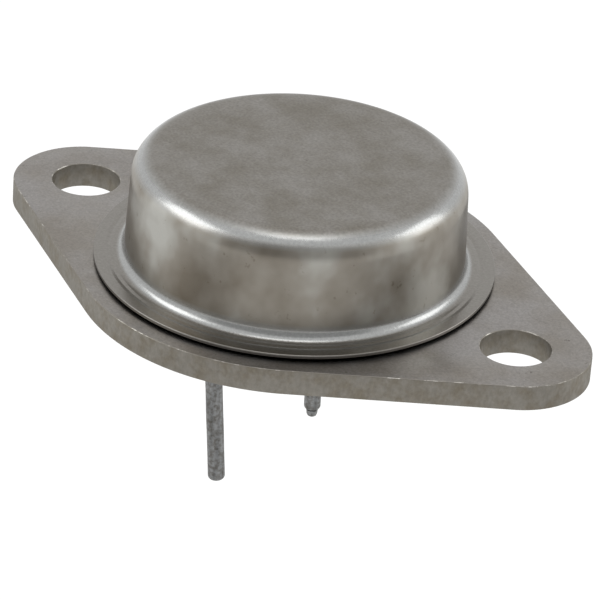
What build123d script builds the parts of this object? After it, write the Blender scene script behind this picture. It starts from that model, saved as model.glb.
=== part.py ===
from build123d import *
from math import acos, atan2, cos, degrees, radians, sin, tan
import os

# A power transistor in a flat two-hole metal case: a stamped base plate, a drawn steel cap welded
# on it, and two leads through glass seals. Millimetres, +Z up. The origin is the middle of the
# seating face under the plate, and +X runs along the line of the two mounting holes.

# Base plate: a round body run into two ears by straight flanks
hole_spacing = 30.15
hole_radius = 2.0
ear_radius = 4.3
plate_radius = 12.6
plate_thickness = 1.5
plate_edge_round = 0.05
hole_edge_round = 0.06

# Cap: sheet drawn into a cup, with a rim that is welded down on a small ring
cap_top_z = 8.03
cap_radius = 9.55
cap_draft = 2.5
cap_wall = 0.28
cap_corner_round = 1.5
cap_foot_round = 0.6
rim_radius = 11.54
rim_thickness = 0.22
rim_edge_round = 0.06
crease_margin = 0.06
crease_width = 0.2
crease_depth = 0.05
weld_gap = 0.18
weld_radius = 10.5
weld_top_width = 0.7
weld_foot_width = 0.4

# Leads: off the plate's middle, each sealed in its own hole and leaning a little below its bend
lead_x = -1.7
lead_spacing = 10.92
lead_radius = 0.5
lead_inner_z = 3.1
lead_head_radius = 0.85
lead_head_thickness = 0.3
lead_bend_drop = 0.6
lead_bend_radius = 6.0
lead_tip_round = 0.22
emitter_lead_drop = 11.5
emitter_lead_lean = 5.0
emitter_lead_heading = 66.0
emitter_lead_stub = 0.0
base_lead_drop = 11.55
base_lead_lean = 1.2
base_lead_heading = -15.0
base_lead_stub = 0.35
stub_radius = 0.3

# Glass seals: drawn back from both faces of the plate, with hollowed ends
seal_radius = 1.65
seal_setback = 0.08
seal_sag = 0.14

# Heat spreader, die and their joints, in a stack on the plate between the leads
spreader_x = 0.7
spreader_length = 9.4
spreader_width = 6.4
spreader_thickness = 1.0
spreader_corner_round = 0.7
braze_thickness = 0.08
braze_margin = 0.15
die_side = 5.0
die_thickness = 0.32
solder_thickness = 0.06
solder_margin = 0.12

# Bond wires from the die's two pads to the lead heads, and the soft coat over the die
wire_foot_thickness = 0.18
wire_foot_length = 0.9
emitter_wire_radius = 0.25
base_wire_radius = 0.19
emitter_pad_x = 0.9
base_pad_x = -1.3
pad_y = 1.5
wire_rise = 1.1
coat_radius = 3.9
coat_height = 0.75

hole_x = hole_spacing / 2
lead_y = lead_spacing / 2
rim_under_z = plate_thickness + weld_gap
rim_top_z = rim_under_z + rim_thickness
spreader_z = plate_thickness + braze_thickness
solder_z = spreader_z + spreader_thickness
die_z = solder_z + solder_thickness
die_top_z = die_z + die_thickness


def disc(radius, bottom, top, x=0, y=0):
    """An upright cylinder between two heights."""
    return Pos(x, y, (bottom + top) / 2) * Cylinder(radius, top - bottom)


def slab(length, width, bottom, top, corner=0.0):
    """A flat block at the spreader's place, with its upright corners rounded if asked."""
    block = Pos(spreader_x, 0, (bottom + top) / 2) * Box(length, width, top - bottom)
    if corner > 0:
        block = fillet(block.edges().filter_by(Axis.Z), corner)
    return block


def plate_outline():
    """The round body and both ears, joined by lines that touch their arcs."""
    slope = acos((plate_radius - ear_radius) / hole_x)
    body_point = (plate_radius * cos(slope), plate_radius * sin(slope))
    ear_point = (hole_x + ear_radius * cos(slope), ear_radius * sin(slope))

    def mirrored(point, across, along):
        return (point[0] * across, point[1] * along)

    edges = []
    for across in (1, -1):
        ear_tip = (across * (hole_x + ear_radius), 0)
        ear_ends = [mirrored(ear_point, across, along) for along in (1, -1)]
        edges.append(ThreePointArc(ear_ends[0], ear_tip, ear_ends[1]))
    for along in (1, -1):
        body_ends = [mirrored(body_point, across, along) for across in (1, -1)]
        edges.append(ThreePointArc(body_ends[0], (0, along * plate_radius), body_ends[1]))
    for across in (1, -1):
        for along in (1, -1):
            flank = [mirrored(point, across, along) for point in (body_point, ear_point)]
            edges.append(Line(*flank))
    return make_face(edges)


def base_plate():
    """A stamped plate with two mounting holes and two seal holes."""
    plate = extrude(plate_outline(), plate_thickness)
    top_edges = plate.edges().group_by(Axis.Z)[-1]
    plate = fillet(top_edges, plate_edge_round)
    for x in (-hole_x, hole_x):
        plate -= disc(hole_radius, 0, plate_thickness, x)
    rims = plate.edges().filter_by(GeomType.CIRCLE).group_by(Axis.Z)[-1]
    hole_rims = [rim for rim in rims if abs(rim.radius - hole_radius) < 0.001]
    plate = fillet(hole_rims, hole_edge_round)
    for y in (-lead_y, lead_y):
        plate -= disc(seal_radius, 0, plate_thickness, lead_x, y)
    return plate


def cap_form(inset, rim, outer, floor):
    """The cup's form, shrunk by inset, on a rim of one height out to one radius and down to the floor."""
    lean = radians(cap_draft)
    top = cap_top_z - inset
    top_radius = cap_radius + inset * tan(lean) - inset / cos(lean)
    foot_radius = top_radius + (top - rim) * tan(lean)
    points = [(0, top), (top_radius, top), (foot_radius, rim)]
    points += [(outer, rim), (outer, floor), (0, floor)]
    face = make_face(Polyline(points, close=True))
    corner = face.vertices().sort_by_distance((top_radius, top))[0]
    face = fillet(corner, cap_corner_round - inset)
    foot = face.vertices().sort_by_distance((foot_radius, rim))[0]
    face = fillet(foot, cap_foot_round + inset)
    return revolve(Plane.XZ * face, Axis.Z)


def crease():
    """The shallow groove pressed into the rim's top, round the foot of the wall."""
    wall_foot = cap_radius + (cap_top_z - rim_top_z) * tan(radians(cap_draft))
    inner = wall_foot + cap_foot_round + crease_margin
    points = [(inner, rim_top_z), (inner + crease_width, rim_top_z)]
    points.append((inner + crease_width / 2, rim_top_z - crease_depth))
    return revolve(Plane.XZ * make_face(Polyline(points, close=True)), Axis.Z)


def weld_ring():
    """The ring under the rim that holds the cap to the plate."""
    top, foot = weld_top_width / 2, weld_foot_width / 2
    points = [(weld_radius - top, rim_under_z), (weld_radius + top, rim_under_z)]
    points += [(weld_radius + foot, plate_thickness), (weld_radius - foot, plate_thickness)]
    return revolve(Plane.XZ * make_face(Polyline(points, close=True)), Axis.Z)


def cap():
    """A drawn cup of one thickness, with a thinner pressed rim and its weld ring."""
    shell = cap_form(0, rim_top_z, rim_radius, rim_under_z)
    shell -= crease()
    rings = shell.edges().filter_by(GeomType.CIRCLE)
    lip = [ring for ring in rings if abs(ring.radius - rim_radius) < 0.001]
    shell = fillet(lip, rim_edge_round)
    shell -= cap_form(cap_wall, rim_under_z, rim_radius + 1, rim_under_z - 1)
    return shell + weld_ring()


def lead(y, drop, lean, heading, stub):
    """A nail-headed wire, straight through its seal, then bent a little and cut off below."""
    turn = radians(lean)
    shaft = disc(lead_radius, -lead_bend_drop, lead_inner_z)
    shaft += disc(lead_head_radius, lead_inner_z - lead_head_thickness, lead_inner_z)
    start = Plane((0, 0, -lead_bend_drop)) * Circle(lead_radius)
    pivot = Axis((lead_bend_radius, 0, -lead_bend_drop), (0, -1, 0))
    shaft += revolve(start, pivot, lean)
    bend_x = lead_bend_radius * (1 - cos(turn))
    bend_z = -lead_bend_drop - lead_bend_radius * sin(turn)
    reach = (drop + bend_z) / cos(turn)
    below = Plane((bend_x, 0, bend_z), z_dir=(sin(turn), 0, -cos(turn)))
    shank = below * Pos(0, 0, reach / 2) * Cylinder(lead_radius, reach)
    tip = shank.edges().filter_by(GeomType.CIRCLE).sort_by(Axis.Z)[0]
    shaft += fillet(tip, lead_tip_round)
    if stub > 0:
        root = reach - 2 * lead_tip_round
        shaft += below * Pos(0, 0, (root + reach + stub) / 2) * Cylinder(stub_radius, reach + stub - root)
    return Pos(lead_x, y, 0) * Rot(0, 0, heading) * shaft


def glass_seal(y):
    """A glass bead that fills its hole round the lead, hollowed a little at both ends."""
    low, high = seal_setback, plate_thickness - seal_setback
    middle = (lead_radius + seal_radius) / 2
    edges = [
        Line((lead_radius, low), (lead_radius, high)),
        ThreePointArc((lead_radius, high), (middle, high - seal_sag), (seal_radius, high)),
        Line((seal_radius, high), (seal_radius, low)),
        ThreePointArc((seal_radius, low), (middle, low + seal_sag), (lead_radius, low)),
    ]
    return Pos(lead_x, y, 0) * revolve(Plane.XZ * make_face(edges), Axis.Z)


def wire_foot(x, y, z, wire_radius, heading):
    """The end of a bond wire, pressed flat on what it is joined to."""
    foot = Box(wire_foot_length, 2.4 * wire_radius, wire_foot_thickness)
    return Pos(x, y, z + wire_foot_thickness / 2) * Rot(0, 0, heading) * foot


def bond_wire(pad_x, side, wire_radius):
    """A soft wire in an arch from its pad on the die to the head of its lead."""
    start = Vector(spreader_x + pad_x, side * pad_y, die_top_z + wire_foot_thickness / 2)
    end = Vector(lead_x, side * lead_y, lead_inner_z + wire_foot_thickness / 2)
    crown = (start + end) / 2 + Vector(0, 0, wire_rise)
    arch = ThreePointArc(start, crown, end)
    heading = degrees(atan2(end.Y - start.Y, end.X - start.X))
    wire = sweep(Plane(arch @ 0, z_dir=arch % 0) * Circle(wire_radius), path=arch)
    wire += wire_foot(start.X, start.Y, die_top_z, wire_radius, heading)
    wire += wire_foot(end.X, end.Y, lead_inner_z, wire_radius, heading)
    floor = disc(coat_radius, 0, die_top_z, spreader_x)
    head = disc(lead_head_radius, 0, lead_inner_z, end.X, end.Y)
    return wire - floor - head


def junction_coat(wires):
    """A low dome of soft resin over the die and the wire feet on it."""
    height = spreader_z + spreader_thickness
    rise = coat_height + die_top_z - height
    ball = (coat_radius ** 2 + rise ** 2) / (2 * rise)
    dome = Pos(spreader_x, 0, height + rise - ball) * Sphere(ball)
    dome &= slab(2 * coat_radius, spreader_width, height, height + rise)
    dome -= slab(die_side, die_side, die_z, die_top_z)
    dome -= solder_layer()
    for wire in wires:
        dome -= wire
    return dome


def solder_layer():
    side = die_side + 2 * solder_margin
    return slab(side, side, solder_z, die_z)


def braze_layer():
    length = spreader_length + 2 * braze_margin
    width = spreader_width + 2 * braze_margin
    return slab(length, width, plate_thickness, spreader_z, spreader_corner_round)


def build():
    """Every piece by its node name."""
    emitter_wire = bond_wire(emitter_pad_x, -1, emitter_wire_radius)
    base_wire = bond_wire(base_pad_x, 1, base_wire_radius)
    spreader = slab(spreader_length, spreader_width, spreader_z, solder_z, spreader_corner_round)
    return {
        "base_plate": base_plate(),
        "cap": cap(),
        "emitter_lead": lead(
            -lead_y, emitter_lead_drop, emitter_lead_lean, emitter_lead_heading, emitter_lead_stub
        ),
        "base_lead": lead(lead_y, base_lead_drop, base_lead_lean, base_lead_heading, base_lead_stub),
        "emitter_lead_seal": glass_seal(-lead_y),
        "base_lead_seal": glass_seal(lead_y),
        "spreader_braze": braze_layer(),
        "heat_spreader": spreader,
        "die_solder": solder_layer(),
        "die": slab(die_side, die_side, die_z, die_top_z),
        "emitter_bond_wire": emitter_wire,
        "base_bond_wire": base_wire,
        "junction_coat": junction_coat([emitter_wire, base_wire]),
    }


os.makedirs("parts", exist_ok=True)
for node, shape in build().items():
    export_step(shape, f"parts/{node}.step")
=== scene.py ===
# %% [markdown]
# # A power transistor in a flat metal can
# The part is a stamped steel plate with two mounting holes, a drawn steel cap welded on top, and two
# wire leads that pass through glass seals. The finished case is nickel plated, which gives a warm
# grey metal that is matt where it was pressed flat and smoother where it was drawn over a die.
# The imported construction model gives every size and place, and this script gives it its surfaces.

from math import cos, pi, radians, sin, tan

import bmesh
import bpy
from mathutils import Matrix, Vector, noise


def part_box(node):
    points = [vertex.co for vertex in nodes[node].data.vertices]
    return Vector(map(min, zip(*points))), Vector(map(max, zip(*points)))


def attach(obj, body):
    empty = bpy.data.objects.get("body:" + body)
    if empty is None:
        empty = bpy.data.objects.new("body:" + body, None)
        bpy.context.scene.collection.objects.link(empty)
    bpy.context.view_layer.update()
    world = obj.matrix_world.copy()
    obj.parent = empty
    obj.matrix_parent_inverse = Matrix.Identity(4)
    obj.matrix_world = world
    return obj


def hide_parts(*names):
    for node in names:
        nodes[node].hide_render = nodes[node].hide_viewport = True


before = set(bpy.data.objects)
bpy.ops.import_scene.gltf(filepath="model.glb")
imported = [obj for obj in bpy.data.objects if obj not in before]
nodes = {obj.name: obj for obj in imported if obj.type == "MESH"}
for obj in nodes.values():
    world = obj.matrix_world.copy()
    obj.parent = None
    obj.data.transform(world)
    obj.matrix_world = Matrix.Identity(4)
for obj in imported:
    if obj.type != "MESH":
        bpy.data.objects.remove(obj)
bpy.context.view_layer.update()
MM = 0.001
print("nodes:", sorted(nodes))

# %% [markdown]
# ## Sizes
# The construction model is only a mesh here, so its radii are measured from the boxes of its nodes.
# What a box can't give, such as a bend or a rounding, is a named value in millimetres.

# %% Measure the frame
_, plate_high = [[value / MM for value in corner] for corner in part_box("base_plate")]
_, cap_high = [[value / MM for value in corner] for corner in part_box("cap")]
seal_low, seal_high = [[value / MM for value in corner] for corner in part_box("base_lead_seal")]
plate_top = plate_high[2]
plate_radius = plate_high[1]
cap_top = cap_high[2]
rim_radius = cap_high[0]
seal_radius = (seal_high[0] - seal_low[0]) / 2
lead_x = (seal_high[0] + seal_low[0]) / 2
lead_y = (seal_high[1] + seal_low[1]) / 2
hole_spacing = 30.15
hole_radius = 2.0
ear_radius = plate_high[0] - hole_spacing / 2
print(f"plate {2 * plate_high[0]:.2f} x {2 * plate_radius:.2f} x {plate_top:.2f} mm")
print(f"cap top {cap_top:.2f} mm")

# %% [markdown]
# ## Turning a profile
# The cap and the seals are round, so each is a profile turned about its axis. A profile is a short
# list of corners, and each corner may carry a rounding radius. The rounding is a chain of points on
# the arc that touches both sides, and a support point close to each end of a long straight side
# keeps the flat parts flat when the mesh is shaded smooth.

# %% Profile helpers
def rounded(corners, steps=10, support=0.12):
    """Corner points (r, z, rounding) in mm, as a smooth chain of (r, z) points."""
    chain = []
    for i, (r, z, rounding) in enumerate(corners):
        here = Vector((r, z))
        if rounding == 0 or i in (0, len(corners) - 1):
            chain.append(here)
            continue
        before = (Vector(corners[i - 1][:2]) - here).normalized()
        after = (Vector(corners[i + 1][:2]) - here).normalized()
        half = before.angle(after) / 2
        centre = here + (before + after).normalized() * rounding / sin(half)
        start = here + before * rounding / tan(half) - centre
        sweep = start.angle_signed(here + after * rounding / tan(half) - centre)
        chain += [centre + Matrix.Rotation(-sweep * k / steps, 2) @ start for k in range(steps + 1)]
    full = [chain[0]]
    for a, b in zip(chain, chain[1:]):
        if (b - a).length > 5 * support:
            step = (b - a).normalized() * support
            full += [a + step, b - step]
        full.append(b)
    return full


def turned(profile, segments, x=0.0, y=0.0):
    """A bmesh of the profile turned once round the upright line through (x, y), in metres."""
    bm = bmesh.new()
    points = [bm.verts.new(((x + p.x) * MM, y * MM, p.y * MM)) for p in profile]
    edges = [bm.edges.new(pair) for pair in zip(points, points[1:])]
    bmesh.ops.spin(
        bm, geom=points + edges, cent=(x * MM, y * MM, 0), axis=(0, 0, 1),
        angle=2 * pi, steps=segments, use_merge=True,
    )
    bmesh.ops.remove_doubles(bm, verts=bm.verts, dist=0.0005 * MM)
    bmesh.ops.recalc_face_normals(bm, faces=bm.faces)
    return bm


def finish_piece(name, bm, replaced, sharp=35):
    """Turns a bmesh into a smooth-shaded piece that rides with the part and stands for a CAD node."""
    mesh = bpy.data.meshes.new(name)
    bm.to_mesh(mesh)
    bm.free()
    mesh.shade_smooth()
    mesh.set_sharp_from_angle(angle=radians(sharp))
    piece = bpy.data.objects.new(name, mesh)
    bpy.context.scene.collection.objects.link(piece)
    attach(piece, "root")
    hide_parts(replaced)
    print(f"{name}: {len(mesh.polygons)} faces")
    return piece


# %% [markdown]
# ## The cap
# A cap is deep drawn from sheet: a punch pushes a disc into a die, so the metal has one thickness,
# a generous corner at the top, a slight draft and a rounded foot. The rim is then pressed thinner,
# with a shallow crease where the tool bit. A small ring below it melts into the plate when the two
# are welded. The cap is one closed shell, outside and inside, so that the rim's edge shows its real
# thickness above the dark slit.

# %% Cap
wall = 0.28
rim_thickness = 0.22
draft = radians(2.5)
slit = 0.18
weld_radius = 10.5
rim_under = plate_top + slit
rim_top = rim_under + rim_thickness
cap_sharp_radius = 9.55
corner_round = 1.5
foot_round = 0.6
edge_round = 0.06
crease_half = 0.2
crease_depth = 0.035
crease_round = 0.14
weld_half_top = 0.35
weld_half_foot = 0.2
foot_radius = cap_sharp_radius + (cap_top - rim_top) * tan(draft)
crease = foot_radius + foot_round + 0.06
inner_top = cap_sharp_radius + wall * tan(draft) - wall / cos(draft)
inner_foot = inner_top + (cap_top - wall - rim_under) * tan(draft)
cap_profile = rounded([
    (0, cap_top, 0),
    (cap_sharp_radius, cap_top, corner_round),
    (foot_radius, rim_top, foot_round),
    (crease, rim_top, crease_round),
    (crease + crease_half, rim_top - crease_depth, crease_round),
    (crease + 2 * crease_half, rim_top, crease_round),
    (rim_radius, rim_top, edge_round),
    (rim_radius, rim_under, edge_round),
    (weld_radius + weld_half_top, rim_under, 0),
    (weld_radius + weld_half_foot, plate_top, 0),
    (weld_radius - weld_half_foot, plate_top, 0),
    (weld_radius - weld_half_top, rim_under, 0),
    (inner_foot, rim_under, 0.4),
    (inner_top, cap_top - wall, 1.2),
    (0, cap_top - wall, 0),
])
cap = finish_piece("drawn_cap", turned(cap_profile, 288), "cap")

# %% [markdown]
# ## The base plate
# A press shears the plate out of strip and punches its holes in the same stroke. Three cylinders
# wrapped in their convex hull give the outline, with flanks that touch the round body and both
# ears. The holes are cut with a boolean, and the edges on the punch side are rolled over with a
# small bevel. The faces of that bevel get their own finish, because handling rubs them bright.

# %% Base plate
def hull_of_plate():
    """The plate's outline as a solid, with one many-sided face above and one below."""
    bm = bmesh.new()
    ear_x = hole_spacing / 2
    for x, radius, segments in ((0, plate_radius, 288), (-ear_x, ear_radius, 144), (ear_x, ear_radius, 144)):
        bmesh.ops.create_cone(
            bm, cap_ends=False, segments=segments, radius1=radius * MM, radius2=radius * MM,
            depth=plate_top * MM, matrix=Matrix.Translation((x * MM, 0, plate_top * MM / 2)),
        )
    bmesh.ops.delete(bm, geom=list(bm.edges), context="EDGES_FACES")
    bmesh.ops.convex_hull(bm, input=bm.verts)
    loose = [v for v in bm.verts if not v.link_faces]
    bmesh.ops.delete(bm, geom=loose, context="VERTS")
    bmesh.ops.dissolve_limit(bm, angle_limit=radians(0.3), verts=bm.verts, edges=bm.edges)
    bmesh.ops.recalc_face_normals(bm, faces=bm.faces)
    return bm


def cutters():
    """Cylinders for both mounting holes and both seal holes, as one mesh."""
    bm = bmesh.new()
    places = [(x * hole_spacing / 2, 0, hole_radius, 96) for x in (-1, 1)]
    places += [(lead_x, y * lead_y, seal_radius, 64) for y in (-1, 1)]
    for x, y, radius, segments in places:
        bmesh.ops.create_cone(
            bm, cap_ends=True, segments=segments, radius1=radius * MM, radius2=radius * MM,
            depth=3 * plate_top * MM, matrix=Matrix.Translation((x * MM, y * MM, plate_top * MM / 2)),
        )
    return bm


def temporary(name, bm):
    """A bmesh as an object that is only used to make another one."""
    mesh = bpy.data.meshes.new(name)
    bm.to_mesh(mesh)
    bm.free()
    made = bpy.data.objects.new(name, mesh)
    bpy.context.scene.collection.objects.link(made)
    return made


blank = temporary("blank", hull_of_plate())
punch = temporary("punch", cutters())
cut = blank.modifiers.new("holes", "BOOLEAN")
cut.operation = "DIFFERENCE"
cut.solver = "EXACT"
cut.object = punch
bpy.context.view_layer.update()
punched = bpy.data.meshes.new_from_object(blank.evaluated_get(bpy.context.evaluated_depsgraph_get()))
bpy.data.objects.remove(blank)
bpy.data.objects.remove(punch)
plate_bm = bmesh.new()
plate_bm.from_mesh(punched)
bmesh.ops.remove_doubles(plate_bm, verts=plate_bm.verts, dist=0.002 * MM)
print("punched plate:", len(plate_bm.faces), "faces")

# %% [markdown]
# The rims are found by the angle between their faces, then told apart by height and radius. The
# upper ones are the punch side and roll over a little, and the lower ones stay nearly sharp.

# %% Rolled edges
def rims_at(bm, z, holes):
    """Right-angled edges at one height: the mounting holes' rims, or the outline."""
    found = []
    for edge in bm.edges:
        middle = (edge.verts[0].co + edge.verts[1].co) / (2 * MM)
        if abs(middle.z - z) > 0.01 or edge.calc_face_angle(0) < radians(60):
            continue
        hole_gap = (Vector((abs(middle.x), middle.y)) - Vector((hole_spacing / 2, 0))).length
        seal_gap = (Vector((middle.x, abs(middle.y))) - Vector((lead_x, lead_y))).length
        if seal_gap < seal_radius + 0.1:
            continue
        if (hole_gap < hole_radius + 0.1) == holes:
            found.append(edge)
    return found


SHEARED, ROLLED = 1, 2
for z, holes, width, slot_index in (
    (plate_top, False, 0.05, ROLLED),
    (plate_top, True, 0.06, ROLLED),
    (0, False, 0.05, SHEARED),
    (0, True, 0.05, SHEARED),
):
    rims = rims_at(plate_bm, z, holes)
    rolled = bmesh.ops.bevel(
        plate_bm, geom=rims, offset=width * MM, offset_type="OFFSET", affect="EDGES",
        segments=4, profile=0.5, material=-1, clamp_overlap=False,
    )
    for face in rolled["faces"]:
        face.material_index = slot_index
    print("rim at", z, "holes" if holes else "outline", len(rims), "edges")
for face in plate_bm.faces:
    if abs(face.normal.z) < 0.3:
        face.material_index = SHEARED
plate = finish_piece("stamped_plate", plate_bm, "base_plate", sharp=30)

# %% [markdown]
# ## The leads
# Each lead is a round wire with a nail head inside the case. It is dipped in solder, which leaves
# the surface slightly lumpy, and it has been bent a little in handling. A circle is extruded from
# station to station along its line, so the lumps can follow the metal. They come from a smooth
# noise, whose size is given in millimetres.

# %% Leads
lead_radius = 0.5
bend_drop = 0.6
bend_radius = 6.0
head_top = 3.1
head_under = 2.8
head_radius = 0.85
tip_round = 0.22
shank_steps = 64
lump_size = 1.1
lump_height = 0.012


def lead_stations(drop, lean, stub):
    """Down the wire: each place and slope in the plane of its bend, with the radius there."""
    turn = radians(lean)
    bend_x = bend_radius * (1 - cos(turn))
    bend_z = -bend_drop - bend_radius * sin(turn)
    reach = (drop + bend_z) / cos(turn)
    neck = head_under - 0.01
    stations = [(0, head_top, 0, head_radius), (0, head_under, 0, head_radius), (0, neck, 0, lead_radius)]
    stations += [(0, neck - 0.3 * k, 0, lead_radius) for k in range(1, 11)]
    for k in range(1, 7):
        part = turn * k / 6
        x, z = bend_radius * (1 - cos(part)), -bend_drop - bend_radius * sin(part)
        stations.append((x, z, part, lead_radius))

    def along(distance, radius):
        stations.append((bend_x + distance * sin(turn), bend_z - distance * cos(turn), turn, radius))

    for k in range(1, shank_steps + 1):
        along((reach - tip_round) * k / shank_steps, lead_radius)
    for k in range(1, 7):
        part = pi / 2 * k / 6
        along(reach - tip_round + tip_round * sin(part), lead_radius - tip_round + tip_round * cos(part))
    if stub > 0:
        for share, radius in ((0.08, 0.37), (0.3, 0.34), (0.6, 0.33), (0.85, 0.27), (1.0, 0.16)):
            along(reach + stub * share, radius)
    return stations


def dipped_lead(name, y, drop, lean, heading, stub, node):
    """A wire swept through its stations, then roughened by the solder."""
    bm = bmesh.new()
    ring = bmesh.ops.create_circle(bm, cap_ends=False, segments=48, radius=1.0 * MM)["verts"]
    ring_edges = list({edge for vert in ring for edge in vert.link_edges})
    here = Matrix.Identity(4)
    first_edges = ring_edges
    for index, (x, z, slope, radius) in enumerate(lead_stations(drop, lean, stub)):
        if index:
            grown = bmesh.ops.extrude_edge_only(bm, edges=ring_edges)["geom"]
            ring = [item for item in grown if isinstance(item, bmesh.types.BMVert)]
            ring_edges = [item for item in grown if isinstance(item, bmesh.types.BMEdge)]
        there = Matrix.Translation((x * MM, 0, z * MM)) @ Matrix.Rotation(-slope, 4, "Y")
        there = there @ Matrix.Scale(radius, 4)
        bmesh.ops.transform(bm, matrix=there @ here.inverted(), verts=ring)
        here = there
    bmesh.ops.contextual_create(bm, geom=ring_edges)
    bmesh.ops.contextual_create(bm, geom=first_edges)
    bmesh.ops.recalc_face_normals(bm, faces=bm.faces)
    bm.normal_update()
    for vert in bm.verts:
        if vert.co.z < -0.3 * MM:
            spot = Vector((vert.co.x, vert.co.y + y * MM, vert.co.z / 2)) / (lump_size * MM)
            vert.co += vert.normal * noise.noise(spot) * lump_height * MM
    place = Matrix.Translation((lead_x * MM, y * MM, 0)) @ Matrix.Rotation(radians(heading), 4, "Z")
    bmesh.ops.transform(bm, matrix=place, verts=bm.verts)
    return finish_piece(name, bm, node, sharp=50)


emitter_lead = dipped_lead("dipped_emitter_lead", -lead_y, 11.5, 5.0, 66.0, 0.0, "emitter_lead")
base_lead = dipped_lead("dipped_base_lead", lead_y, 11.37, 1.2, -15.0, 0.53, "base_lead")

# %% [markdown]
# ## The glass seals
# A bead of glass is melted in each hole round its lead. Molten glass wets both metals, so its face
# climbs at the wire and at the wall and dips between them. Each bead is a turned ring with two
# hollow faces.

# %% Glass seals
setback = 0.08
sag = 0.14


def glass_bead(name, y, node):
    """The bead's section as a closed loop of points, turned round its lead."""
    low, high = setback, plate_top - setback
    width = seal_radius - lead_radius
    across = [lead_radius + width * k / 12 for k in range(13)]
    dip = [sag * sin(pi * k / 12) for k in range(13)]
    section = [Vector((r, high - d)) for r, d in zip(across, dip)]
    section += [Vector((r, low + d)) for r, d in reversed(list(zip(across, dip)))]
    section.append(section[0].copy())
    return finish_piece(name, turned(section, 72, lead_x, y), node, sharp=50)


emitter_seal = glass_bead("emitter_glass_bead", -lead_y, "emitter_lead_seal")
base_seal = glass_bead("base_glass_bead", lead_y, "base_lead_seal")

# %% [markdown]
# ## Materials
# Every finish is a small tree of nodes on one Principled shader. Two helpers serve them all: one
# turns a colour as it is written on a screen into the linear values that Blender mixes, and one
# adds a node with its settings and its links. Inputs are named, or listed in the sockets' order:
# a Map Range takes the value, then the range it comes from, then the range it goes to.

# %% Material helpers
MULTIPLY = {"data_type": "RGBA", "blend_type": "MULTIPLY"}


def linear(code):
    """A colour such as 8f8b85 as linear red, green and blue with full alpha."""
    values = [int(code[i:i + 2], 16) / 255 for i in (0, 2, 4)]
    return tuple(v / 12.92 if v <= 0.04045 else ((v + 0.055) / 1.055) ** 2.4 for v in values) + (1.0,)


def add(tree, kind, inputs=(), stops=(), **settings):
    """One node: its properties, its inputs as values or links, and its ramp as (position, colour)."""
    made = tree.nodes.new("ShaderNode" + kind)
    for name, value in settings.items():
        setattr(made, name, value)
    for name, value in inputs.items() if isinstance(inputs, dict) else enumerate(inputs):
        if isinstance(value, bpy.types.NodeSocket):
            tree.links.new(value, made.inputs[name])
        else:
            made.inputs[name].default_value = value
    for index, (position, code) in enumerate(stops):
        elements = made.color_ramp.elements
        element = elements[index] if index < len(elements) else elements.new(position)
        element.position, element.color = position, linear(code)
    return made


def per_mm(size):
    """The scale of a texture whose features are this many millimetres across."""
    return 1 / (size * MM)


def new_finish(name):
    """An empty material and its object coordinates."""
    material = bpy.data.materials.new(name)
    material.use_nodes = True
    tree = material.node_tree
    tree.nodes.clear()
    place = add(tree, "TexCoord").outputs["Object"]
    return material, tree, place


def close_finish(tree, shader):
    """Wires the shader to the material's output."""
    add(tree, "OutputMaterial", {"Surface": shader.outputs["BSDF"]})


def marks(tree, place, size, low, high, dark):
    """Rare small blemishes: only the lowest stretch of a noise is darkened."""
    spots = add(tree, "TexNoise", {
        "Vector": place, "Scale": per_mm(size), "Detail": 3.0, "Roughness": 0.7,
    }).outputs["Fac"]
    return add(tree, "ValToRGB", [spots], [(low, dark), (high, "ffffff")]).outputs["Color"]


print("helpers ready")

# %% [markdown]
# ### Nickel plate on the drawn cap
# Nickel is a slightly warm, greyish white metal, and on drawn steel it takes the surface below it.
# The cap has four such surfaces, one above the other. The flat top was pressed against a
# sand-grained punch and is matt, with a fine tooth. The corner and the foot were drawn over a
# radius, and their burnish gives a lighter colour that lies where the lamps' highlights fall, so it is
# partly a painted highlight. The side between them was ironed by the die, with soft clouds a few
# millimetres across where the drawing oil stained it. The rim was pressed flat again. The height on
# the cap fades each into the next.

# %% Cap finish
cloud_place = (0.011, 0.0, 0.01)


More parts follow.
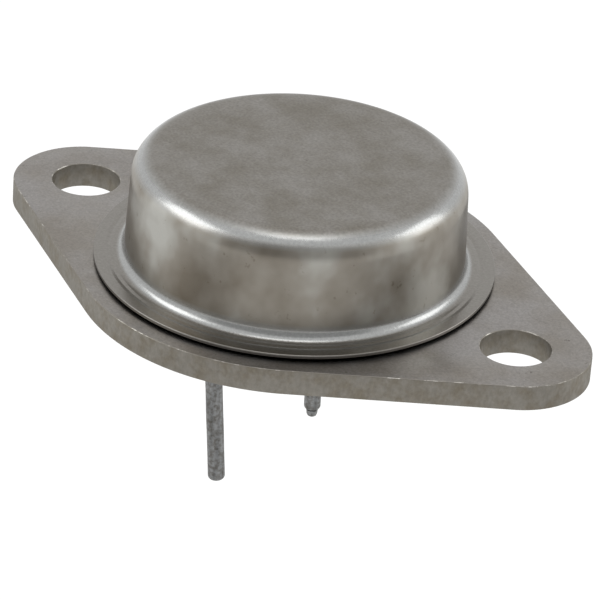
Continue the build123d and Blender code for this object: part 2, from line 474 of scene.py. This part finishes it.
def cap_nickel():
    material, tree, place = new_finish("nickel_plate_on_drawn_cap")

    # The clouds on the side, a little taller than wide, with a few small marks.
    upright = add(tree, "Mapping", {
        "Vector": place, "Location": cloud_place, "Scale": (1.0, 1.0, 0.85),
    }).outputs["Vector"]
    clouds = add(tree, "TexNoise", {
        "Vector": upright, "Scale": per_mm(3.6), "Detail": 3.0, "Roughness": 0.5,
    }).outputs["Fac"]
    cloudy = add(tree, "ValToRGB", [clouds], [
        (0.3, "787166"), (0.5, "928d84"), (0.7, "b4b3ad"),
    ]).outputs["Color"]
    specks = marks(tree, upright, 0.8, 0.24, 0.36, "c4bcb0")
    cloudy = add(tree, "Mix", {"Factor": 1.0, 6: cloudy, 7: specks}, **MULTIPLY).outputs[2]

    # The tooth of the punch on the top, with smudges and specks.
    grain = add(tree, "TexNoise", {
        "Vector": place, "Scale": per_mm(0.16), "Detail": 3.0, "Roughness": 0.6,
    }).outputs["Fac"]
    smudge = add(tree, "TexNoise", {
        "Vector": place, "Scale": per_mm(2.4), "Detail": 4.0, "Roughness": 0.6,
    }).outputs["Fac"]
    matt = add(tree, "ValToRGB", [grain], [(0.25, "787570"), (0.75, "918e89")]).outputs["Color"]
    smudges = add(tree, "ValToRGB", [smudge], [(0.35, "e3e0d9"), (0.65, "ffffff")]).outputs["Color"]
    for shade in (smudges, marks(tree, place, 0.5, 0.24, 0.31, "a8a298")):
        matt = add(tree, "Mix", {"Factor": 1.0, 6: matt, 7: shade}, **MULTIPLY).outputs[2]
    # The corner and foot colour is lighter where the lamps' highlights fall: burnish, and partly a painted
    # highlight.
    burnished_and_painted_highlight = add(tree, "ValToRGB", [grain], [(0.25, "999a99"), (0.75, "a9aaa9")]).outputs["Color"]
    pressed = add(tree, "ValToRGB", [grain], [(0.25, "7a7772"), (0.75, "8a8782")]).outputs["Color"]

    # Each zone: the height where it is absent, the height where it is full, its colour, its roughness.
    zones = [
        (cap_top - 0.85, cap_top - 0.45, burnished_and_painted_highlight, 0.23),
        (rim_top + 0.9, rim_top + 0.4, burnished_and_painted_highlight, 0.25),
        (rim_top + 0.1, rim_top + 0.02, pressed, 0.28),
        (cap_top - 0.3, cap_top - 0.03, matt, 0.42),
    ]
    height = add(tree, "SeparateXYZ", [place]).outputs["Z"]
    colour = cloudy
    rough = add(tree, "MapRange", [clouds, 0.3, 0.7, 0.30, 0.40]).outputs["Result"]
    for absent, full, layer, layer_rough in zones:
        low, high = sorted((absent, full))
        ends = (0.0, 1.0) if full > absent else (1.0, 0.0)
        share = add(tree, "MapRange", [height, low * MM, high * MM, *ends]).outputs["Result"]
        colour = add(tree, "Mix", {"Factor": share, 6: colour, 7: layer}, data_type="RGBA").outputs[2]
        rough = add(tree, "Mix", {"Factor": share, 2: rough, 3: layer_rough}, data_type="FLOAT").outputs[0]

    # After the last zone, share is the top's. Its tooth is deeper, and a slow swell runs under all.
    depth = add(tree, "Mix", {"Factor": share, 2: 0.28, 3: 0.45}, data_type="FLOAT").outputs[0]
    tooth = add(tree, "MapRange", [grain, 0.3, 0.7]).outputs["Result"]
    fine = add(tree, "Bump", {"Strength": depth, "Distance": 0.004 * MM, "Height": tooth}).outputs["Normal"]
    swell = add(tree, "TexNoise", {"Vector": upright, "Scale": per_mm(2.2), "Detail": 2.0}).outputs["Fac"]
    bump = add(tree, "Bump", {"Strength": 0.35, "Distance": 0.03 * MM, "Height": swell, "Normal": fine})
    close_finish(tree, add(tree, "BsdfPrincipled", {
        "Base Color": colour, "Metallic": 1.0, "Roughness": rough, "Normal": bump.outputs["Normal"],
    }))
    return material


cap.data.materials.append(cap_nickel())
print("cap finished")

# %% [markdown]
# ### Nickel plate on the stamped plate
# The plate's faces were rolled with the strip, so they are matt and even, with a fine sandy grain
# from the tumbling barrel. A dark ring inside the rim's radius is a painted shade, which deepens
# the slit under the rim. The plate's edges were sheared: the metal tore there, and it is browner,
# with short upright streaks. Where the two meet, the rolled edge is rubbed bright, but only in places.

# %% Plate face
def plate_nickel():
    material, tree, place = new_finish("nickel_plate_on_rolled_strip")
    grain = add(tree, "TexNoise", {
        "Vector": place, "Scale": per_mm(0.13), "Detail": 3.0, "Roughness": 0.65,
    }).outputs["Fac"]
    patches = add(tree, "TexNoise", {
        "Vector": place, "Scale": per_mm(4.0), "Detail": 4.0, "Roughness": 0.55,
    }).outputs["Fac"]
    colour = add(tree, "ValToRGB", [grain], [(0.25, "7f7c7a"), (0.75, "9a9794")]).outputs["Color"]
    patchy = add(tree, "ValToRGB", [patches], [(0.35, "e8e4dc"), (0.62, "ffffff")]).outputs["Color"]
    for shade in (patchy, marks(tree, place, 0.6, 0.24, 0.33, "958f86")):
        colour = add(tree, "Mix", {"Factor": 1.0, 6: colour, 7: shade}, **MULTIPLY).outputs[2]

    # The painted shade of the slit lies inside the rim's radius, and on the upper face only.
    flat = add(tree, "Mapping", {"Vector": place, "Scale": (1.0, 1.0, 0.0)}).outputs["Vector"]
    radius = add(tree, "VectorMath", [flat], operation="LENGTH").outputs["Value"]
    inside = add(tree, "MapRange", [
        radius, (rim_radius - 0.28) * MM, (rim_radius - 0.04) * MM, 1.0, 0.0,
    ]).outputs["Result"]
    height = add(tree, "SeparateXYZ", [place]).outputs["Z"]
    above = add(tree, "MapRange", [height, (plate_top - 0.2) * MM, (plate_top - 0.05) * MM]).outputs["Result"]
    # Painted shade: a near-black ring on the plate darkens the slit under the rim.
    slit_painted_shade = add(tree, "Math", [inside, above], operation="MULTIPLY").outputs[0]
    colour_with_slit_shade = add(tree, "Mix", {"Factor": slit_painted_shade, 6: colour, 7: linear("2a2521")}, data_type="RGBA").outputs[2]
    rough = add(tree, "MapRange", [patches, 0.3, 0.7, 0.28, 0.38]).outputs["Result"]
    bump = add(tree, "Bump", {"Strength": 0.65, "Distance": 0.005 * MM, "Height": grain})
    close_finish(tree, add(tree, "BsdfPrincipled", {
        "Base Color": colour_with_slit_shade, "Metallic": 1.0, "Roughness": rough, "Normal": bump.outputs["Normal"],
    }))
    return material


plate.data.materials.append(plate_nickel())
print("plate face finished")


# %% Plate edges
def sheared_edge():
    material, tree, place = new_finish("nickel_plate_on_sheared_edge")
    tall = add(tree, "Mapping", {"Vector": place, "Scale": (1.0, 1.0, 0.6)}).outputs["Vector"]
    streaks = add(tree, "TexNoise", {
        "Vector": tall, "Scale": per_mm(0.2), "Detail": 4.0, "Roughness": 0.6,
    }).outputs["Fac"]
    stains = add(tree, "TexNoise", {
        "Vector": place, "Scale": per_mm(0.9), "Detail": 4.0, "Roughness": 0.65,
    }).outputs["Fac"]
    streaky = add(tree, "ValToRGB", [streaks], [(0.3, "8a867e"), (0.7, "99958d")]).outputs["Color"]
    brown = add(tree, "ValToRGB", [stains], [(0.35, "ebe6dd"), (0.58, "ffffff")]).outputs["Color"]
    colour = add(tree, "Mix", {"Factor": 1.0, 6: streaky, 7: brown}, **MULTIPLY).outputs[2]
    bump = add(tree, "Bump", {"Strength": 0.3, "Distance": 0.012 * MM, "Height": streaks})
    close_finish(tree, add(tree, "BsdfPrincipled", {
        "Base Color": colour, "Metallic": 1.0, "Roughness": 0.55, "Normal": bump.outputs["Normal"],
    }))
    return material


def rubbed_edge():
    material, tree, place = new_finish("nickel_plate_rubbed_bright")
    wear = add(tree, "TexNoise", {
        "Vector": place, "Scale": per_mm(0.7), "Detail": 5.0, "Roughness": 0.7,
    }).outputs["Fac"]
    colour = add(tree, "ValToRGB", [wear], [(0.52, "827e77"), (0.68, "cac7c0")]).outputs["Color"]
    rough = add(tree, "MapRange", [wear, 0.42, 0.6, 0.5, 0.3]).outputs["Result"]
    bump = add(tree, "Bump", {"Strength": 0.6, "Distance": 0.02 * MM, "Height": wear})
    close_finish(tree, add(tree, "BsdfPrincipled", {
        "Base Color": colour, "Metallic": 1.0, "Roughness": rough, "Normal": bump.outputs["Normal"],
    }))
    return material


for finish in (sheared_edge(), rubbed_edge()):
    plate.data.materials.append(finish)
print("plate finished:", [slot.name for slot in plate.material_slots])

# %% [markdown]
# ### Solder on the leads
# Dipped solder is a soft grey tin alloy. It dulls in air and shows faint runs along the wire, with
# darker mottling where flux was left. The runs are a noise stretched along the lead.

# %% Lead finish
def dull_solder():
    material, tree, place = new_finish("dull_dipped_solder")
    along = add(tree, "Mapping", {"Vector": place, "Scale": (1.0, 1.0, 0.14)}).outputs["Vector"]
    runs = add(tree, "TexNoise", {
        "Vector": along, "Scale": per_mm(0.3), "Detail": 4.0, "Roughness": 0.6,
    }).outputs["Fac"]
    mottle = add(tree, "TexNoise", {
        "Vector": place, "Scale": per_mm(0.25), "Detail": 2.0, "Roughness": 0.6,
    }).outputs["Fac"]
    runny = add(tree, "ValToRGB", [runs], [(0.32, "7b7c7c"), (0.68, "9b9c9c")]).outputs["Color"]
    dirt = add(tree, "ValToRGB", [mottle], [(0.34, "c2bdb6"), (0.6, "ffffff")]).outputs["Color"]
    colour = add(tree, "Mix", {"Factor": 1.0, 6: runny, 7: dirt}, **MULTIPLY).outputs[2]
    bump = add(tree, "Bump", {"Strength": 0.5, "Distance": 0.02 * MM, "Height": runs})
    close_finish(tree, add(tree, "BsdfPrincipled", {
        "Base Color": colour, "Metallic": 1.0, "Roughness": 0.48, "Normal": bump.outputs["Normal"],
    }))
    return material


solder_dip = dull_solder()
for piece in (emitter_lead, base_lead):
    piece.data.materials.append(solder_dip)
print("leads finished")

# %% [markdown]
# ### Sealing glass
# The glass that seals metal to metal is not clear: it is a dark, smoky green-grey, full of fine
# bubbles, and it looks nearly black from outside with a sharp gloss.

# %% Glass finish
def dark_glass():
    material, tree, place = new_finish("dark_sealing_glass")
    bubbles = add(tree, "TexNoise", {"Vector": place, "Scale": per_mm(0.2), "Detail": 3.0}).outputs["Fac"]
    colour = add(tree, "ValToRGB", [bubbles], [(0.35, "20262a"), (0.7, "39433f")]).outputs["Color"]
    close_finish(tree, add(tree, "BsdfPrincipled", {"Base Color": colour, "Roughness": 0.12, "IOR": 1.5}))
    return material


bead_glass = dark_glass()
for piece in (emitter_seal, base_seal):
    piece.data.materials.append(bead_glass)
print("glass finished")

# %% [markdown]
# ## What is sealed inside
# The copper spreader, the solder, the silicon die, its wires and the soft coat never show, because
# the case is welded shut. They stay as the construction model gives them, and each gets a plain
# version of its real finish, so that the part looks right if someone cuts it open.

# %% Inner finishes
def inner(name, dark, light, size, metallic, roughness, stretch=(1.0, 1.0, 1.0)):
    """A finish of two close colours mottled at one real size."""
    material, tree, place = new_finish(name)
    placed = add(tree, "Mapping", {"Vector": place, "Scale": stretch}).outputs["Vector"]
    mottle = add(tree, "TexNoise", {"Vector": placed, "Scale": per_mm(size), "Detail": 3.0}).outputs["Fac"]
    colour = add(tree, "ValToRGB", [mottle], [(0.3, dark), (0.7, light)]).outputs["Color"]
    bump = add(tree, "Bump", {"Strength": 0.2, "Distance": 0.005 * MM, "Height": mottle})
    close_finish(tree, add(tree, "BsdfPrincipled", {
        "Base Color": colour, "Metallic": metallic, "Roughness": roughness, "Normal": bump.outputs["Normal"],
    }))
    return material


inner_finishes = {
    inner("milled_copper", "a8623f", "c4805a", 0.4, 1.0, 0.35, (1.0, 0.1, 1.0)): ["heat_spreader"],
    inner("dull_soft_solder", "77797b", "9a9c9d", 0.3, 1.0, 0.5): ["spreader_braze", "die_solder"],
    inner("lapped_silicon", "3c3f47", "50535c", 0.15, 0.6, 0.18): ["die"],
    inner("drawn_aluminium_wire", "b9babb", "d2d3d4", 0.1, 1.0, 0.32): [
        "emitter_bond_wire", "base_bond_wire",
    ],
    inner("cured_silicone_resin", "d6d3cb", "e8e6e0", 0.8, 0.0, 0.4): ["junction_coat"],
}
for material, names in inner_finishes.items():
    for name in names:
        nodes[name].data.materials.clear()
        nodes[name].data.materials.append(material)
print("inner finishes:", len(inner_finishes))

# %% [markdown]
# ## Stage
# A polished metal part shows its surroundings more than its own colour, so the stage matters as
# much as the finish. A pale floor and a white world give the even base. Two soft boxes at the sides
# and one overhead draw the bright lines along the rounded corners. Grey cards, which only
# reflections can see, give the side of the cap its shape as a studio's flags do.

# %% Floor and world
def plane(name, size, centre, facing):
    """A square of a given size in mm, centred at a point and facing a direction."""
    bm = bmesh.new()
    turn = Vector(facing).to_track_quat("Z", "Y").to_matrix().to_4x4()
    half = Matrix.Diagonal((size[0] * MM / 2, size[1] * MM / 2, 1, 1))
    place = Matrix.Translation(Vector(centre) * MM) @ turn @ half
    bmesh.ops.create_grid(bm, x_segments=1, y_segments=1, size=1.0, matrix=place)
    made = temporary(name, bm)
    return made


def pale_paper():
    """Matt white paper, which metal sees as plain white, without the part's own shadow."""
    material, tree, place = new_finish("pale_paper")
    fibre = add(tree, "TexNoise", {"Vector": place, "Scale": per_mm(0.5), "Detail": 2.0}).outputs["Fac"]
    colour = add(tree, "ValToRGB", [fibre], [(0.3, "fbfbfb"), (0.7, "ffffff")]).outputs["Color"]
    paper = add(tree, "BsdfPrincipled", {"Base Color": colour, "Roughness": 0.9, "Specular IOR Level": 0.0})
    white = add(tree, "Emission", {"Color": (1.0, 1.0, 1.0, 1.0), "Strength": 1.0})
    mirrored = add(tree, "LightPath").outputs["Is Glossy Ray"]
    both = add(tree, "MixShader", [mirrored, paper.outputs["BSDF"], white.outputs["Emission"]])
    add(tree, "OutputMaterial", {"Surface": both.outputs["Shader"]})
    return material


floor_z = -60.0
floor = plane("floor", (4000, 4000), (0, 0, floor_z), (0, 0, 1))
floor.data.materials.append(pale_paper())

world = bpy.data.worlds.new("white_room")
world.use_nodes = True
bpy.context.scene.world = world
room = world.node_tree
room.nodes.clear()
ray = add(room, "LightPath")
seen = ray.outputs["Is Camera Ray"]
for kind in ("Is Glossy Ray", "Is Transmission Ray"):
    seen = add(room, "Math", [seen, ray.outputs[kind]], operation="MAXIMUM").outputs[0]
strength = add(room, "MapRange", [seen, 0.0, 1.0, 0.85, 1.0]).outputs["Result"]
sky = add(room, "Background", {"Color": (1.0, 1.0, 1.0, 1.0), "Strength": strength})
add(room, "OutputWorld", {"Surface": sky.outputs["Background"]})
print("floor at", floor_z, "mm")

# %% [markdown]
# The camera is a long lens a good way off, which keeps the ellipses of the can nearly parallel. It
# stands off the near ear's side, looks down on the part, and is rolled a little.

# %% Camera
azimuth = radians(32.93)
elevation = radians(29.16)
roll = radians(4.15)
distance = 228.98
aim_right = 0.496
aim_up = -0.903

turn = Matrix.Rotation(azimuth, 3, "Z") @ Matrix.Rotation(pi / 2 - elevation, 3, "X")
aim = turn @ Vector((aim_right, aim_up, 0))
eye = aim + turn @ Vector((0, 0, distance))
lens = bpy.data.cameras.new("camera")
lens.sensor_width = 36.0
lens.lens = 238.5
lens.clip_start = 0.01
lens.clip_end = 10
camera = bpy.data.objects.new("camera", lens)
camera.matrix_world = Matrix.Translation(eye * MM) @ (turn @ Matrix.Rotation(roll, 3, "Z")).to_4x4()
bpy.context.scene.collection.objects.link(camera)
bpy.context.scene.camera = camera
print("camera at", [round(v, 1) for v in eye])

# %% Lights and cards
def toward(across, up):
    """A direction from the part: degrees to the right of straight ahead of the camera, and up."""
    bearing = azimuth - radians(across)
    flat = Vector((-sin(bearing), cos(bearing), 0))
    return flat * cos(radians(up)) + Vector((0, 0, sin(radians(up))))


def soft_box(name, across, up, distance, size, radiance):
    """An area light of a size in mm that looks this bright, aimed at the cap."""
    light = bpy.data.lights.new(name, "AREA")
    light.shape = "RECTANGLE"
    light.size, light.size_y = size[0] * MM, size[1] * MM
    light.energy = radiance * pi * light.size * light.size_y
    lamp = bpy.data.objects.new(name, light)
    spot = toward(across, up) * distance
    lamp.matrix_world = Matrix.Translation(spot * MM) @ spot.to_track_quat("Z", "Y").to_matrix().to_4x4()
    bpy.context.scene.collection.objects.link(lamp)
    return lamp


soft_box("left_soft_box", -92, 38, 400, (260, 180), 2.2)
soft_box("right_soft_box", 80, 28, 400, (220, 200), 1.9)
soft_box("overhead_soft_box", 0, 88, 450, (180, 180), 2.0)


def reflected_card(name, size, centre, facing, grey):
    """A grey card that only shows in the metal, as a studio's flag does."""
    card = plane(name, size, centre, facing)
    finish, tree, _ = new_finish(name)
    close_finish(tree, add(tree, "BsdfPrincipled", {
        "Base Color": (0, 0, 0, 1), "Specular IOR Level": 0.0,
        "Emission Color": (grey, grey, grey, 1), "Emission Strength": 1.0,
    }))
    card.data.materials.append(finish)
    card.visible_camera = False
    card.visible_diffuse = False
    card.visible_shadow = False
    return card


low = Vector((0, 0, floor_z + 1))
flags = {
    "left_front_flag": (-125, 70, 0.5),
    "right_front_flag": (120, 70, 0.5),
    "left_rear_flag": (-30, 80, 0.35),
    "right_rear_flag": (32, 80, 0.35),
}
for name, (across, side, grey) in flags.items():
    reflected_card(name, (side, side), toward(across, 0) * 125 + low, (0, 0, 1), grey)
reflected_card("front_flag", (900, 420), toward(180, 0) * 340 + Vector((0, 0, 180)), -toward(180, 0), 0.5)
print("lamps: 3, cards:", len(flags) + 1)

# %% [markdown]
# ## Colour view
# The colours are shown as they are.

# %% Finish
bpy.context.scene.view_settings.view_transform = "Standard"
bpy.context.view_layer.update()
